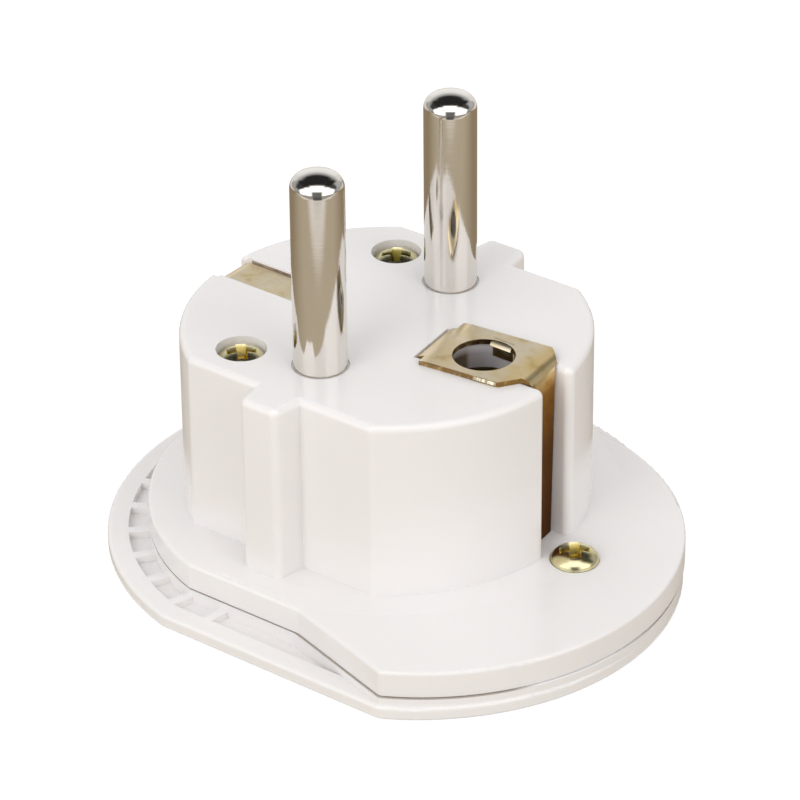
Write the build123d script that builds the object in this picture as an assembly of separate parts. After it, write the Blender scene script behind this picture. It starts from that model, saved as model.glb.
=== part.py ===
from build123d import *
import os
from math import atan2, cos, hypot, radians, sin, sqrt, tan

# Travel adapter in millimetres. It stands on its socket face, pins up along +Z.
# The origin is on the plug's axis, on the face that it stands on.
# X runs through the two pins. The ear is on the -Y side.

# Plug pins
PIN_D = 4.8
PIN_SPACING = 19.0
PIN_LENGTH = 19.0
PIN_END_R = 1.3
PIN_END_ARC = 65.0
PIN_SINK = 0.15
PIN_SHANK_D = 4.4
PIN_COLLAR_D = 6.8
PIN_COLLAR_T = 1.0
PIN_TAIL_D = 2.8
PIN_HEAD_D = 4.2
PIN_HEAD_T = 0.7

# Plug body
BODY_D = 37.0
BODY_FLAT_DEPTH = 3.0
BODY_H = 17.25
BODY_WALL = 1.6
FACE_T = 2.6
BODY_EDGE_R = 0.65
BODY_CORNER_EXTRA = 0.05
GUIDE_W = 4.0
GUIDE_ROOT_W = 4.9
GUIDE_SHY = 0.1
FRONT_SLOT_W = 3.9
REAR_SLOT_W = 4.1
SLOT_BACK_WALL = 1.4

# Flange with its ear
FLANGE_T = 2.45
FLANGE_EDGE_R = 0.3
DISC_D = 43.7
DISC_FLAT_DEPTH = 0.9
DISC_RISE = 0.15
DISC_STEP_IN = 0.5
EAR_R = 23.5
EAR_X = -3.6
EAR_Y = -6.7
EAR_CUT_ANGLE = 16.5
EAR_CORNER_R = 0.8

# Socket cover
COVER_D = 51.3
COVER_FLAT = 24.9
COVER_T = 2.1
COVER_LIP = 0.15
COVER_EAR_SHIFT = -0.5
COVER_EDGE_R = 0.3
COVER_CORNER_R = 2.5
RIM_H = 1.3
RIM_W = 1.9
SHADOW_GAP = 0.15
SEAT_INSET = 0.6
POCKET_FLOOR = 0.6
POCKET_RIB_W = 0.9
POCKET_PITCH = 10.5
POCKET_FIRST = 173.8
POCKET_RIBS = 18
SPIGOT_H = 1.6
SPIGOT_W = 1.2

# Socket holes
SOCKET_Y = -5.5
SOCKET_ROUND_D = 5.2
SOCKET_BLADE_IN = 5.5
SOCKET_BLADE_OUT = 12.1
SOCKET_BLADE_H = 4.4
SOCKET_SLIT_X = 6.35
SOCKET_SLIT_W = 1.9
SOCKET_SLIT_H = 7.4
SOCKET_SLANT = 30.0
SOCKET_SLANT_X = 6.85
EARTH_Y = 6.4
EARTH_ROUND_D = 5.9
EARTH_SLOT_W = 4.6
EARTH_SLOT_H = 8.4

# Spring contacts
CONTACT_T = 0.6
CONTACT_GAP = 4.9
CONTACT_PINCH = 4.24
CONTACT_MOUTH = 6.2
CONTACT_IN = 5.9
CONTACT_ROOM = 1.4
CONTACT_TAIL = 2.7
CONTACT_LOW = 5.0
CONTACT_PINCH_LOW = 7.6
CONTACT_PINCH_HIGH = 10.4
CONTACT_STRAIGHT = 15.4
EARTH_CONTACT_LEN = 6.0
EARTH_CONTACT_ARM_W = 5.4
EARTH_CONTACT_END = 4.1

# Earth clips
CLIP_T = 0.5
CLIP_KNEE_R = 0.75
CLIP_FOOT_R = 0.3
CLIP_STRIP_LIFT = 0.25
FRONT_TURN = 6.5
FRONT_STRIP_W = 3.5
FRONT_STRIP_SINK = 1.5
FRONT_BEND_R = 0.9
FRONT_LEAN = 0.3
FRONT_PLATE_W = 7.8
FRONT_PLATE_START = 6.45
FRONT_PLATE_SHY = 1.5
FRONT_TAPER = 1.4
FRONT_TAPER_W = 4.5
FRONT_NEAR_CUT = 1.1
FRONT_SLOPE_W = 5.7
FRONT_RIDGE = 6.65
FRONT_RIDGE_R = 3.5
FRONT_TAIL = 5.45
FRONT_FOOT_END = 0.4
REAR_STRIP_W = 3.8
REAR_STRIP_SINK = 0.2
REAR_BEND_R = 1.4
REAR_TAIL = 8.2
REAR_FOOT_END = 4.0
REAR_SINK = 0.4
EARTH_PIN_X = -0.3
EARTH_PIN_Y = -11.0
EARTH_PIN_D = 5.6
EARTH_TAB_W = 2.2
EARTH_TAB_T = 0.25
EARTH_TAB_H = 1.2
RIVET_D = 1.8
RIVET_HEAD_D = 3.0
RIVET_HEAD_T = 0.5
FRONT_RIVET_Y = -2.2
REAR_RIVET_Y = 6.0

# Screws
SCREW_D = 2.6
CASE_SCREW_INSET = 5.1
CASE_SCREW_ANGLE = 33.2
CASE_SCREW_SHIFT = -0.23
CASE_HEAD_D = 4.2
CASE_HEAD_RIM = 0.7
CASE_HEAD_H = 1.3
CASE_HEAD_SINK = 0.65
CASE_SCREW_LENGTH = 14.5
EAR_SCREW_X = 0.15
EAR_HEAD_D = 4.4
EAR_HEAD_RIM = 0.45
EAR_HEAD_DOME = 0.5
EAR_SCREW_FLOOR = 0.6
CROSS_SPAN = 2.3
CROSS_W = 0.6
CROSS_DEPTH = 0.8
COLUMN_D = 6.0
POST_D = 4.6
POST_H = 7.2

# Clearances
FIT = 0.05
SHEET_FIT = 0.1
PIN_GROOVE = 0.18
HEAD_FIT = 0.2
SCREW_FIT = 0.15
THREAD_FIT = 0.03
SPIGOT_FIT = 0.15
POST_FIT = 0.1

# Levels that follow from the sizes
FLANGE_TOP = COVER_T + FLANGE_T
FACE = FLANGE_TOP + BODY_H
CEILING = FACE - FACE_T
COLLAR_LOW = CEILING - PIN_COLLAR_T
CONTACT_UNDER = COLLAR_LOW - CONTACT_T
CLIP_FOOT_LOW = CEILING - CLIP_T
EARTH_UNDER = CLIP_FOOT_LOW - CONTACT_T
BODY_FLATS = BODY_D - 2 * BODY_FLAT_DEPTH
BODY_CORNER_R = BODY_EDGE_R + BODY_CORNER_EXTRA
CONTACT_OUT = BODY_FLATS / 2 - BODY_WALL - CONTACT_ROOM
GUIDE_SPAN = BODY_D - 2 * GUIDE_SHY
DISC_FLATS = DISC_D - 2 * DISC_FLAT_DEPTH
FRONT_STRIP_FACE = BODY_D / 2 - FRONT_STRIP_SINK
FRONT_PLATE_END = FRONT_STRIP_FACE - FRONT_PLATE_SHY
FRONT_REACH = FRONT_STRIP_FACE + EARTH_PIN_Y
FRONT_SLOT_X = FRONT_REACH * sin(radians(FRONT_TURN))
FRONT_STRIP_BACK = (FRONT_REACH - FRONT_LEAN - CLIP_T) * cos(radians(FRONT_TURN)) - EARTH_PIN_Y
FRONT_SLOT_BACK = FRONT_STRIP_BACK - FRONT_STRIP_W / 2 * sin(radians(FRONT_TURN)) - SHEET_FIT
REAR_STRIP_FACE = BODY_D / 2 - REAR_STRIP_SINK
REAR_SLOT_BACK = REAR_STRIP_FACE - CLIP_T
CASE_SCREW_X = (BODY_D / 2 - CASE_SCREW_INSET) * cos(radians(CASE_SCREW_ANGLE))
CASE_SCREW_Y = (BODY_D / 2 - CASE_SCREW_INSET) * sin(radians(CASE_SCREW_ANGLE))
EAR_SCREW_Y = -(BODY_D + EAR_HEAD_D) / 2
REAR_FLOOR = FACE - REAR_SINK - CLIP_T
PIN_X = PIN_SPACING / 2
SLOPE_ANGLE = atan2(CLIP_T, FRONT_RIDGE - FRONT_TAIL)
EARTH_BORE_D = 2 * hypot(EARTH_PIN_D / 2 + EARTH_TAB_T, EARTH_TAB_W / 2) + 2 * FIT
SCREW_SEAT = FACE - CASE_HEAD_SINK - CASE_HEAD_RIM
POST_TOP = COVER_T + POST_H
REACH = COVER_D

# The front clip stands slightly turned about the middle of the earth-pin hole
FRONT_PLACE = Pos(0, EARTH_PIN_Y) * Rot(0, 0, FRONT_TURN) * Pos(0, -EARTH_PIN_Y)
FRONT_RIVET_PLACE = FRONT_PLACE * Pos(0, FRONT_RIVET_Y)
REAR_RIVET_PLACE = Pos(0, REAR_RIVET_Y)
EARTH_PIN_PLACE = Pos(EARTH_PIN_X, EARTH_PIN_Y)


def prism(sketch, low, high):
    """Straight solid of a plan outline between two levels."""
    return extrude(Pos(0, 0, low) * sketch, amount=high - low)


def drum(diameter, low, high):
    """Round bar on the Z axis between two levels."""
    return prism(Circle(diameter / 2), low, high)


def block(x_low, x_high, y_low, y_high, low, high):
    """Rectangular block between limits."""
    plan = Pos((x_low + x_high) / 2, (y_low + y_high) / 2) * Rectangle(x_high - x_low, y_high - y_low)
    return prism(plan, low, high)


def sheet(path, width, thickness):
    """Folded strip: its outer face follows a path in the YZ plane, its width is across X."""
    outline = offset(path, amount=thickness, kind=Kind.INTERSECTION, side=Side.LEFT)
    return extrude(Plane.YZ * make_face(outline), amount=width / 2, both=True)


def ring_edges(solid, level):
    """Edges of the outer boundary of the face at a level."""
    faces = solid.faces().filter_by(Axis.Z)
    face = faces.filter_by(lambda f: abs(f.center().Z - level) < FIT).sort_by(SortBy.AREA)[-1]
    return face.outer_wire().edges()


# Plug body

def plug_outline(inset=0.0):
    """Round outline with two flats, drawn in by an even wall."""
    return Circle(BODY_D / 2 - inset) & Rectangle(BODY_FLATS - 2 * inset, BODY_D)


def slot_plan(wall=0.0):
    """Front and rear notch outlines, with an even wall round them."""
    reach = BODY_D / 2
    front = Pos(FRONT_SLOT_X, wall - FRONT_SLOT_BACK - reach / 2)
    rear = Pos(0, REAR_SLOT_BACK - wall + reach / 2)
    notch = front * Rectangle(FRONT_SLOT_W + 2 * wall, reach)
    return notch + rear * Rectangle(REAR_SLOT_W + 2 * wall, reach)


def guide_outline():
    """Both guide ribs as one bar, wider at their roots than at their rounded ends."""
    tip = GUIDE_SPAN / 2
    end = GUIDE_W / 2
    root = BODY_FLATS / 2
    foot = GUIDE_ROOT_W / 2
    right = [(root, -foot), (tip, -end), (tip, end), (root, foot)]
    left = [(-x, -y) for x, y in right]
    bar = Polygon(*right, *left)
    return fillet(bar.vertices().filter_by(lambda v: abs(v.X) > root + FIT), BODY_CORNER_R)


def plug_block():
    """Outside of the plug above the flange, with guide ribs, slots and rounded edges."""
    outline = plug_outline()
    outline = fillet(outline.vertices(), BODY_CORNER_R)
    outline += guide_outline()
    outline -= slot_plan()
    mouth = outline.vertices().filter_by(
        lambda v: abs(v.X) < FRONT_SLOT_W and v.Y < 0 and hypot(v.X, v.Y) > BODY_D / 2 - FIT
    )
    outline = fillet(mouth, BODY_CORNER_R)
    solid = prism(outline, FLANGE_TOP, FACE)
    return fillet(ring_edges(solid, FACE), BODY_EDGE_R)


def beyond_ear(shift=0.0):
    """Everything on the far side of the straight cut that ends the ear."""
    x = -DISC_FLATS / 2 - shift
    y = -sqrt((DISC_D / 2) ** 2 - (DISC_FLATS / 2) ** 2)
    dx = REACH * sin(radians(EAR_CUT_ANGLE))
    dy = REACH * cos(radians(EAR_CUT_ANGLE))
    return Polygon((x - dx, y - dy), (x + dx, y + dy), (x - REACH, y + dy), (x - REACH - dx, y - dy))


def ear_outline(grow=0.0):
    """Round ear about its own centre, cut off straight on its left."""
    return Pos(EAR_X, EAR_Y) * Circle(EAR_R + grow) - beyond_ear(grow)


def flange_outline():
    """Disc with two flats and the ear."""
    disc = Circle(DISC_D / 2) & Rectangle(DISC_FLATS, DISC_D)
    outline = disc + ear_outline()
    corner = outline.vertices().filter_by(lambda v: hypot(v.X, v.Y) > DISC_D / 2 + DISC_STEP_IN)
    return fillet(corner, EAR_CORNER_R)


def flange():
    """Flange plate with a rounded upper edge and a slightly raised round middle."""
    plate = prism(flange_outline(), COVER_T, FLANGE_TOP)
    plate = fillet(ring_edges(plate, FLANGE_TOP), FLANGE_EDGE_R)
    foot = DISC_D / 2 - DISC_STEP_IN
    rise = Pos(0, 0, FLANGE_TOP) * Cone(
        foot, BODY_D / 2, DISC_RISE, align=(Align.CENTER, Align.CENTER, Align.MIN)
    )
    flats = DISC_FLATS - 2 * DISC_STEP_IN
    return plate + (rise & prism(Rectangle(flats, DISC_D), FLANGE_TOP, FACE))


def screw_places():
    """The two case screws."""
    left = CASE_SCREW_SHIFT - CASE_SCREW_X
    right = CASE_SCREW_SHIFT + CASE_SCREW_X
    return Locations((left, CASE_SCREW_Y), (right, CASE_SCREW_Y))


def pin_places():
    """The two pins."""
    return Locations((-PIN_X, 0), (PIN_X, 0))


def plug_cavity():
    """Hollow inside of the plug, open below, with a thicker wall behind each slot."""
    return prism(plug_outline(BODY_WALL) - slot_plan(SLOT_BACK_WALL), COVER_T, CEILING)


def front_clip_opening():
    """Way through the plug face for the front clip's sloping end and the earth pin."""
    near = FRONT_RIDGE + FRONT_RIDGE_R * tan(SLOPE_ANGLE / 2) + SHEET_FIT
    far = FRONT_TAIL - SHEET_FIT
    half = FRONT_SLOPE_W / 2 + SHEET_FIT
    slot = block(-half, half, -near, -far, CEILING, FACE)
    relief = block(-half, half, -far, CLIP_FOOT_R - FRONT_TAIL, CEILING, CEILING + CLIP_FOOT_R)
    return FRONT_PLACE * (slot + relief) + EARTH_PIN_PLACE * drum(EARTH_BORE_D, CEILING, FACE)


def rear_clip_opening():
    """Recess in the plug face for the rear clip and the way through for its inner end."""
    half = REAR_SLOT_W / 2
    tail = REAR_STRIP_W / 2 + SHEET_FIT
    back = REAR_SLOT_BACK
    bend = REAR_STRIP_FACE - REAR_BEND_R - SHEET_FIT
    recess = block(-half, half, REAR_TAIL - CLIP_FOOT_R, back + FIT, REAR_FLOOR, FACE)
    relief = block(-half, half, bend, back + FIT, REAR_FLOOR - back + bend, REAR_FLOOR)
    way = block(-tail, tail, REAR_TAIL - CLIP_FOOT_R, REAR_TAIL + CLIP_KNEE_R, CEILING, REAR_FLOOR)
    return recess + relief + way


def pin_well():
    """Hole of one pin, wider at the face, where a thin groove stays round the pin."""
    seat = drum(PIN_D + 2 * PIN_GROOVE, FACE - PIN_SINK, FACE)
    return seat + drum(PIN_SHANK_D + 2 * FIT, CEILING, FACE - PIN_SINK)


def screw_well():
    """Counterbore and clearance hole of one case screw."""
    well = drum(CASE_HEAD_D + 2 * HEAD_FIT, SCREW_SEAT, FACE)
    return well + drum(SCREW_D + 2 * SCREW_FIT, POST_TOP, SCREW_SEAT)


def ear_screw_well():
    """Countersunk hole of the ear screw."""
    wide = EAR_HEAD_D / 2 + FIT
    narrow = SCREW_D / 2 + SCREW_FIT
    sink = Pos(0, 0, FLANGE_TOP - wide + narrow) * Cone(
        narrow, wide, wide - narrow, align=(Align.CENTER, Align.CENTER, Align.MIN)
    )
    mouth = drum(2 * wide, FLANGE_TOP, FLANGE_TOP + 2 * DISC_RISE)
    return sink + mouth + drum(2 * narrow, COVER_T, FLANGE_TOP)


def plug_body():
    """Plug moulding."""
    body = plug_block() + flange() - plug_cavity()
    column = prism(Circle(COLUMN_D / 2), POST_TOP + POST_FIT, CEILING)
    body += screw_places() * column
    body -= screw_places() * screw_well()
    body -= pin_places() * pin_well()
    body -= front_clip_opening() + rear_clip_opening()
    pocket = drum(RIVET_HEAD_D + 2 * HEAD_FIT, CEILING, CEILING + RIVET_HEAD_T + SHEET_FIT)
    body -= [FRONT_RIVET_PLACE * pocket, REAR_RIVET_PLACE * pocket]
    return body - Pos(EAR_SCREW_X, EAR_SCREW_Y) * ear_screw_well()


# Socket cover

def cover_outline():
    """Round cover joined with the ear, cut off by one flat."""
    ear = Pos(EAR_X + COVER_EAR_SHIFT, EAR_Y) * Circle(EAR_R + COVER_LIP)
    outline = Circle(COVER_D / 2) + ear
    outline &= Pos(REACH / 2 - COVER_FLAT, 0) * Rectangle(REACH, 2 * REACH)
    return fillet(outline.vertices(), COVER_CORNER_R)


def pocket_plan():
    """Open pockets round the seat, parted by thin ribs, up to the ear."""
    moat = offset(cover_outline(), amount=-RIM_W) - flange_outline() - ear_outline(COVER_LIP)
    rib = Pos(REACH / 2, 0) * Rectangle(REACH, POCKET_RIB_W)
    ribs = [Rot(0, 0, POCKET_FIRST - i * POCKET_PITCH) * rib for i in range(POCKET_RIBS)]
    return moat - ribs


def socket_hole():
    """Left socket hole for round pins, straight blades and slanted blades."""
    middle = (SOCKET_BLADE_IN + SOCKET_BLADE_OUT) / 2
    hole = Pos(-PIN_X, SOCKET_Y) * Circle(SOCKET_ROUND_D / 2)
    hole += Pos(-middle, SOCKET_Y) * Rectangle(SOCKET_BLADE_OUT - SOCKET_BLADE_IN, SOCKET_BLADE_H)
    hole += Pos(-SOCKET_SLIT_X, SOCKET_Y) * Rectangle(SOCKET_SLIT_W, SOCKET_SLIT_H)
    slanted = Rot(0, 0, -SOCKET_SLANT) * Rectangle(SOCKET_SLIT_W, SOCKET_SLIT_H)
    return hole + Pos(-SOCKET_SLANT_X, SOCKET_Y) * slanted


def socket_plan():
    """All three socket holes."""
    earth = Pos(0, EARTH_Y) * (Circle(EARTH_ROUND_D / 2) + Rectangle(EARTH_SLOT_W, EARTH_SLOT_H))
    left = socket_hole()
    return left + mirror(left, about=Plane.YZ) + earth


def spigot():
    """Low wall on the cover that locates it inside the plug."""
    outer = plug_outline(BODY_WALL + SPIGOT_FIT)
    inner = plug_outline(BODY_WALL + SPIGOT_FIT + SPIGOT_W)
    pad = slot_plan(SLOT_BACK_WALL + SPIGOT_FIT)
    return prism(outer - inner - pad, COVER_T, COVER_T + SPIGOT_H)


def socket_cover():
    """Socket moulding."""
    plate = prism(cover_outline(), 0, RIM_H)
    plate = fillet(ring_edges(plate, 0) + ring_edges(plate, RIM_H), COVER_EDGE_R)
    plate -= prism(pocket_plan(), POCKET_FLOOR, RIM_H)
    seat = (flange_outline() + ear_outline(COVER_LIP)) & cover_outline()
    plate += prism(seat, RIM_H - 2 * COVER_EDGE_R, COVER_T - SHADOW_GAP)
    plate += prism(offset(flange_outline(), amount=-SEAT_INSET), RIM_H, COVER_T)
    plate += spigot() + screw_places() * drum(POST_D, COVER_T, POST_TOP)
    plate -= prism(socket_plan(), 0, COVER_T)
    pilot = drum(SCREW_D + 2 * THREAD_FIT, COVER_T, POST_TOP)
    plate -= screw_places() * pilot
    return plate - Pos(EAR_SCREW_X, EAR_SCREW_Y) * drum(SCREW_D + 2 * THREAD_FIT, EAR_SCREW_FLOOR, COVER_T)


# Pins and contacts

def plug_pin():
    """Turned pin on the Z axis with a rounded end, collar and riveted tail."""
    r = PIN_D / 2
    inner = r - PIN_END_R
    arc = radians(PIN_END_ARC)
    crown = inner / cos(arc) + PIN_END_R
    top = FACE + PIN_LENGTH
    side = top - crown + inner * tan(arc)
    turn = (inner + PIN_END_R * cos(arc), side + PIN_END_R * sin(arc))
    half = radians(PIN_END_ARC / 2)
    knee = (inner + PIN_END_R * cos(half), side + PIN_END_R * sin(half))
    rise = radians((90 + PIN_END_ARC) / 2)
    cap = (crown * cos(rise), top - crown + crown * sin(rise))
    end = ThreePointArc((r, side), knee, turn) + ThreePointArc(turn, cap, (0, top))
    tail = Polyline(
        (0, top),
        (0, CONTACT_UNDER - PIN_HEAD_T),
        (PIN_HEAD_D / 2, CONTACT_UNDER - PIN_HEAD_T),
        (PIN_HEAD_D / 2, CONTACT_UNDER),
        (PIN_TAIL_D / 2, CONTACT_UNDER),
        (PIN_TAIL_D / 2, COLLAR_LOW),
        (PIN_COLLAR_D / 2, COLLAR_LOW),
        (PIN_COLLAR_D / 2, CEILING),
        (PIN_SHANK_D / 2, CEILING),
        (PIN_SHANK_D / 2, FACE - PIN_SINK),
        (r, FACE - PIN_SINK),
        (r, side),
    )
    return revolve(Plane.XZ * make_face(end + tail), Axis.Z)


def leaf(top):
    """Outline of one spring leaf: inner face on +Y of the gap, from a level down to its mouth."""
    inner = Polyline(
        (CONTACT_GAP / 2, top),
        (CONTACT_GAP / 2, CONTACT_STRAIGHT),
        (CONTACT_PINCH / 2, CONTACT_PINCH_HIGH),
        (CONTACT_PINCH / 2, CONTACT_PINCH_LOW),
        (CONTACT_MOUTH / 2, CONTACT_LOW),
    )
    return make_face(offset(inner, amount=CONTACT_T, kind=Kind.INTERSECTION, side=Side.LEFT))


def line_contact():
    """Left spring contact: base riveted to the pin, two leaves for the socket's left hole."""
    front = SOCKET_Y - CONTACT_GAP / 2 - CONTACT_T
    base = block(-CONTACT_OUT, -CONTACT_IN, front, CONTACT_TAIL, CONTACT_UNDER, COLLAR_LOW)
    base -= Pos(-PIN_X, 0) * drum(PIN_TAIL_D + 2 * FIT, CONTACT_UNDER, COLLAR_LOW)
    wing = extrude(Plane.YZ * leaf(COLLAR_LOW), amount=CONTACT_OUT - CONTACT_IN)
    pair = wing + mirror(wing, about=Plane.XZ)
    return base + Pos(-CONTACT_OUT, SOCKET_Y) * pair


def earth_contact():
    """Earth contact: an arm under both clips and two leaves for the socket's earth hole."""
    half = CONTACT_GAP / 2 + CONTACT_T
    low = EARTH_Y - EARTH_CONTACT_LEN / 2
    high = EARTH_Y + EARTH_CONTACT_LEN / 2
    base = block(-half, half, low, high, EARTH_UNDER, CLIP_FOOT_LOW)
    arm = EARTH_CONTACT_ARM_W / 2
    base += block(-arm, arm, -EARTH_CONTACT_END, low, EARTH_UNDER, CLIP_FOOT_LOW)
    wing = extrude(Plane.YZ * leaf(CLIP_FOOT_LOW), amount=EARTH_CONTACT_LEN)
    pair = wing + mirror(wing, about=Plane.XZ)
    base += Pos(0, high) * Rot(0, 0, -90) * pair
    hole = drum(RIVET_D + 2 * FIT, EARTH_UNDER, CLIP_FOOT_LOW)
    return base - [FRONT_RIVET_PLACE * hole, REAR_RIVET_PLACE * hole]


def earth_rivet():
    """Rivet on the Z axis that joins a clip and the earth contact."""
    head = drum(RIVET_HEAD_D, CEILING, CEILING + RIVET_HEAD_T)
    upset = drum(RIVET_HEAD_D, EARTH_UNDER - RIVET_HEAD_T, EARTH_UNDER)
    return head + drum(RIVET_D, EARTH_UNDER, CEILING) + upset


# Earth clips

def earth_tabs():
    """Two small spring tabs under the earth-pin hole."""
    inner = EARTH_PIN_D / 2
    half = EARTH_TAB_W / 2
    tab = block(inner, inner + EARTH_TAB_T, -half, half, FACE - EARTH_TAB_H, FACE)
    return EARTH_PIN_PLACE * (tab + mirror(tab, about=Plane.YZ))


def front_plate_plan():
    """Plate of the front clip from above, drawn in towards the strip, more so on its left."""
    half = FRONT_PLATE_W / 2
    neck = FRONT_TAPER_W / 2
    near = FRONT_PLATE_END - FRONT_NEAR_CUT
    return Polygon(
        (-half, -FRONT_PLATE_START),
        (-half, -near),
        (-neck, -near - FRONT_TAPER),
        (-neck, -FRONT_STRIP_FACE),
        (neck, -FRONT_STRIP_FACE),
        (neck, -FRONT_PLATE_END - FRONT_TAPER),
        (half, -FRONT_PLATE_END),
        (half, -FRONT_PLATE_START),
        align=None,
    )


def earth_clip_front():
    """Front clip: foot, slope, plate with the earth-pin hole, fold and side strip."""
    top = FACE + CLIP_T
    path = FilletPolyline(
        (-FRONT_FOOT_END, CEILING),
        (-FRONT_TAIL, CEILING),
        (-FRONT_TAIL, FACE),
        (-FRONT_RIDGE, top),
        (-FRONT_STRIP_FACE, top),
        (FRONT_LEAN - FRONT_STRIP_FACE, FLANGE_TOP + CLIP_STRIP_LIFT),
        radius=[CLIP_FOOT_R, CLIP_KNEE_R, FRONT_RIDGE_R, FRONT_BEND_R],
    )
    wide = sheet(path, FRONT_PLATE_W, CLIP_T)
    slope = FRONT_SLOPE_W / 2
    clip = sheet(path, FRONT_STRIP_W, CLIP_T)
    clip += wide & prism(front_plate_plan(), FACE, top)
    clip += wide & block(-slope, slope, -FRONT_RIDGE, -FRONT_TAIL, CEILING, top)
    clip = FRONT_PLACE * clip - EARTH_PIN_PLACE * drum(EARTH_PIN_D, FACE, top)
    hole = drum(RIVET_D + 2 * FIT, CLIP_FOOT_LOW, CEILING)
    return clip + earth_tabs() - FRONT_RIVET_PLACE * hole


def earth_clip_rear():
    """Rear clip: foot, sunk strip, fold and side strip."""
    top = FACE - REAR_SINK
    path = FilletPolyline(
        (-REAR_FOOT_END, CEILING),
        (-REAR_TAIL, CEILING),
        (-REAR_TAIL, top),
        (-REAR_STRIP_FACE, top),
        (-REAR_STRIP_FACE, FLANGE_TOP + CLIP_STRIP_LIFT),
        radius=[CLIP_FOOT_R, CLIP_KNEE_R, REAR_BEND_R],
    )
    strip = mirror(sheet(path, REAR_STRIP_W, CLIP_T), about=Plane.XZ)
    return strip - REAR_RIVET_PLACE * drum(RIVET_D + 2 * FIT, CLIP_FOOT_LOW, CEILING)


# Screws

def cross_recess(top):
    """Cross cut for a screwdriver, below a level."""
    bar = prism(Rectangle(CROSS_SPAN, CROSS_W), top - CROSS_DEPTH, top)
    return bar + Rot(0, 0, 90) * bar


def case_screw():
    """Pan-head case screw on the Z axis."""
    r = CASE_HEAD_D / 2
    rim = SCREW_SEAT + CASE_HEAD_RIM
    top = SCREW_SEAT + CASE_HEAD_H
    tip = SCREW_SEAT - CASE_SCREW_LENGTH
    dome = ThreePointArc((r, rim), (r / 2, rim + (top - rim) * 0.75), (0, top))
    rest = Polyline(
        (0, top), (0, tip), (SCREW_D / 2, tip), (SCREW_D / 2, SCREW_SEAT), (r, SCREW_SEAT), (r, rim)
    )
    screw = revolve(Plane.XZ * make_face(dome + rest), Axis.Z)
    return screw - cross_recess(top)


def ear_screw():
    """Raised countersunk screw on the Z axis."""
    r = EAR_HEAD_D / 2
    shank = SCREW_D / 2
    rim = FLANGE_TOP + EAR_HEAD_RIM
    top = rim + EAR_HEAD_DOME
    dome = ThreePointArc((r, rim), (r / 2, rim + EAR_HEAD_DOME * 0.75), (0, top))
    rest = Polyline(
        (0, top),
        (0, EAR_SCREW_FLOOR),
        (shank, EAR_SCREW_FLOOR),
        (shank, FLANGE_TOP - r + shank),
        (r, FLANGE_TOP),
        (r, rim),
    )
    screw = revolve(Plane.XZ * make_face(dome + rest), Axis.Z)
    return screw - cross_recess(top)


def pieces():
    """Every piece by its name."""
    left_contact = line_contact()
    return {
        "plug_body": plug_body(),
        "socket_cover": socket_cover(),
        "left_pin": Pos(-PIN_X, 0) * plug_pin(),
        "right_pin": Pos(PIN_X, 0) * plug_pin(),
        "left_contact": left_contact,
        "right_contact": mirror(left_contact, about=Plane.YZ),
        "earth_contact": earth_contact(),
        "earth_clip_front": earth_clip_front(),
        "earth_clip_rear": earth_clip_rear(),
        "earth_rivet_front": FRONT_RIVET_PLACE * earth_rivet(),
        "earth_rivet_rear": REAR_RIVET_PLACE * earth_rivet(),
        "left_case_screw": Pos(CASE_SCREW_SHIFT - CASE_SCREW_X, CASE_SCREW_Y) * case_screw(),
        "right_case_screw": Pos(CASE_SCREW_SHIFT + CASE_SCREW_X, CASE_SCREW_Y) * case_screw(),
        "ear_screw": Pos(EAR_SCREW_X, EAR_SCREW_Y) * ear_screw(),
    }


os.makedirs("parts", exist_ok=True)
for name, solid in pieces().items():
    export_step(solid, f"parts/{name}.step")
    print(name, len(solid.solids()), "solid,", round(solid.volume), "mm3")
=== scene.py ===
# %% [markdown]
# A white travel adapter stands on its socket face with its two plug pins up.
# The solid model gives every piece its shape and place, in metres. This script gives
# it light, a camera, its finishes and the few small pieces that need finer shapes.

# %% Load the solid model
import bpy
import bmesh
import math
from mathutils import Matrix, Vector, noise


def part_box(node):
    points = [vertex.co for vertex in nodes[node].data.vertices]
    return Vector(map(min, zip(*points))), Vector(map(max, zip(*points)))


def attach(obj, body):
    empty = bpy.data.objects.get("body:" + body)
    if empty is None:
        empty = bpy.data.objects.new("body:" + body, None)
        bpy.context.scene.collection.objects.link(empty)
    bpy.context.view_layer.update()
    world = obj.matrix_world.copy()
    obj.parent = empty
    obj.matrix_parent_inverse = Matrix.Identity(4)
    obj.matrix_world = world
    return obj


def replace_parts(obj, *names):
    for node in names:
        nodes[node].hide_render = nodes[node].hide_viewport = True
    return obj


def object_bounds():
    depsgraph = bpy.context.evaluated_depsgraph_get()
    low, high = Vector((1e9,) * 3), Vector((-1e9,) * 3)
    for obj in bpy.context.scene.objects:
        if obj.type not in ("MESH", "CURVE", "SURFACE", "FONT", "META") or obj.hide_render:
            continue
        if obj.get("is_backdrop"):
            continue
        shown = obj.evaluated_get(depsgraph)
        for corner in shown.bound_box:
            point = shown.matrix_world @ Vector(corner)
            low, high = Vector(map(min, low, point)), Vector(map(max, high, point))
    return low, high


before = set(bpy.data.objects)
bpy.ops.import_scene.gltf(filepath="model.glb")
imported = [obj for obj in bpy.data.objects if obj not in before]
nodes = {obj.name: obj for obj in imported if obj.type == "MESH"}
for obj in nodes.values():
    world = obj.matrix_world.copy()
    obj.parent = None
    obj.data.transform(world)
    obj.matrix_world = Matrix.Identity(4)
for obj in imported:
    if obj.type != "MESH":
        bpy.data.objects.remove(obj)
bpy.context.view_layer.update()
scene = bpy.context.scene

# %% [markdown]
# A long lens keeps the pins nearly parallel, as they are in a catalogue picture.
# The camera stands to the front left of the adapter and looks down on it by thirty degrees.
# It could be aimed with a constraint. Three axes worked out here also give the
# directions that the lamps use later.

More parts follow.
